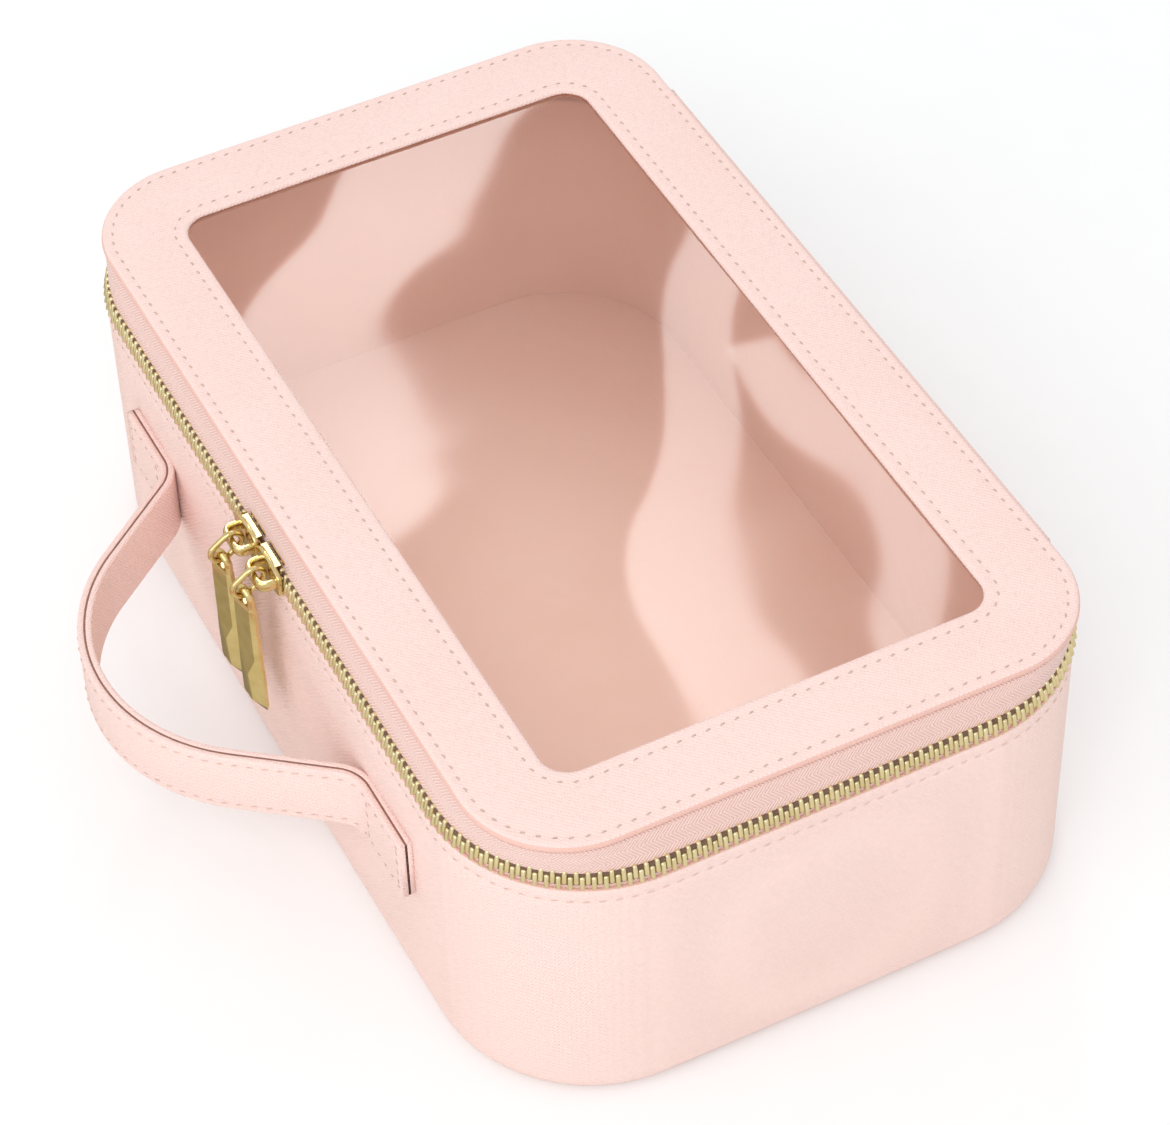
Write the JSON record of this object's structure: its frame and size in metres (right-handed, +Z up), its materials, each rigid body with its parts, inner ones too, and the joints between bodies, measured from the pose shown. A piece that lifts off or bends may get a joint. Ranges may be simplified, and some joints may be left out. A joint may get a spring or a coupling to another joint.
{
  "type": "makeup train case",
  "caption": "Rectangular leather vanity case with a clear window in its hinged lid, closed by a metal zip with paired sliders, and a bowed strap handle on the front.",
  "frame": {"origin": "middle of the footprint on the surface the case stands on", "axes": "+Z up, +X along the long side, -Y out of the front with the handle and sliders, +Y out of the hinge side"},
  "size_m": [0.2568, 0.2076, 0.09],
  "materials": {
    "leather": "fine cross-grain, semi-matt",
    "lining_cloth": "satin weave",
    "stiffener_board": "plain sheet",
    "zip_tape": "herringbone weave",
    "gold_metal": "polished light gold plate",
    "clear_sheet": "clear, glossy"
  },
  "bodies": {
    "case": {"wall_skin": "leather", "base_skin": "leather", "base_board": "stiffener_board", "floor_lining": "lining_cloth", "wall_board": "stiffener_board", "wall_lining": "lining_cloth", "body_zip_tape": "zip_tape", "body_teeth_front": "gold_metal", "body_teeth_sides": "gold_metal", "hinge_strip": "leather", "hinge_lining": "lining_cloth", "handle_inner_strap": "leather", "handle_outer_strap": "leather"},
    "lid": {"lid_skin": "leather", "lid_board_frame": "stiffener_board", "window_pane": "clear_sheet", "lid_lining": "lining_cloth", "lid_zip_tape": "zip_tape", "lid_teeth_front": "gold_metal", "lid_teeth_sides": "gold_metal"},
    "slider_left": {"slider_left": "gold_metal"},
    "ring_left": {"pull_ring_left": "gold_metal"},
    "tab_left": {"pull_tab_left": "gold_metal"},
    "slider_right": {"slider_right": "gold_metal"},
    "ring_right": {"pull_ring_right": "gold_metal"},
    "tab_right": {"pull_tab_right": "gold_metal"}
  },
  "joints": [
    {"name": "lid_hinge", "type": "hinge", "parent": "case", "child": "lid", "pos_m": [0, 0.0805, 0.078], "axis": [-1, 0, 0], "range_deg": [0, 170], "deforming": ["hinge_strip", "hinge_lining"]},
    {"name": "slider_left_slide", "type": "slide", "parent": "case", "child": "slider_left", "axis": [-1, 0, 0], "range_m": [0, 0.034], "deforming": ["body_teeth_front", "lid_teeth_front", "body_zip_tape", "lid_zip_tape"]},
    {"name": "ring_left_swing", "type": "hinge", "parent": "slider_left", "child": "ring_left", "pos_m": [-0.0065, -0.08535, 0.078], "axis": [-1, 0, 0], "range_deg": [0, 100]},
    {"name": "tab_left_swing", "type": "hinge", "parent": "ring_left", "child": "tab_left", "pos_m": [-0.0065, -0.08822, 0.07599], "axis": [-1, 0, 0], "range_deg": [-6, 55]},
    {"name": "slider_right_slide", "type": "slide", "parent": "case", "child": "slider_right", "axis": [1, 0, 0], "range_m": [0, 0.034], "deforming": ["body_teeth_front", "lid_teeth_front", "body_zip_tape", "lid_zip_tape"]},
    {"name": "ring_right_swing", "type": "hinge", "parent": "slider_right", "child": "ring_right", "pos_m": [0.0065, -0.08535, 0.078], "axis": [-1, 0, 0], "range_deg": [0, 100]},
    {"name": "tab_right_swing", "type": "hinge", "parent": "ring_right", "child": "tab_right", "pos_m": [0.0065, -0.08822, 0.07599], "axis": [-1, 0, 0], "range_deg": [-6, 55]}
  ]
}
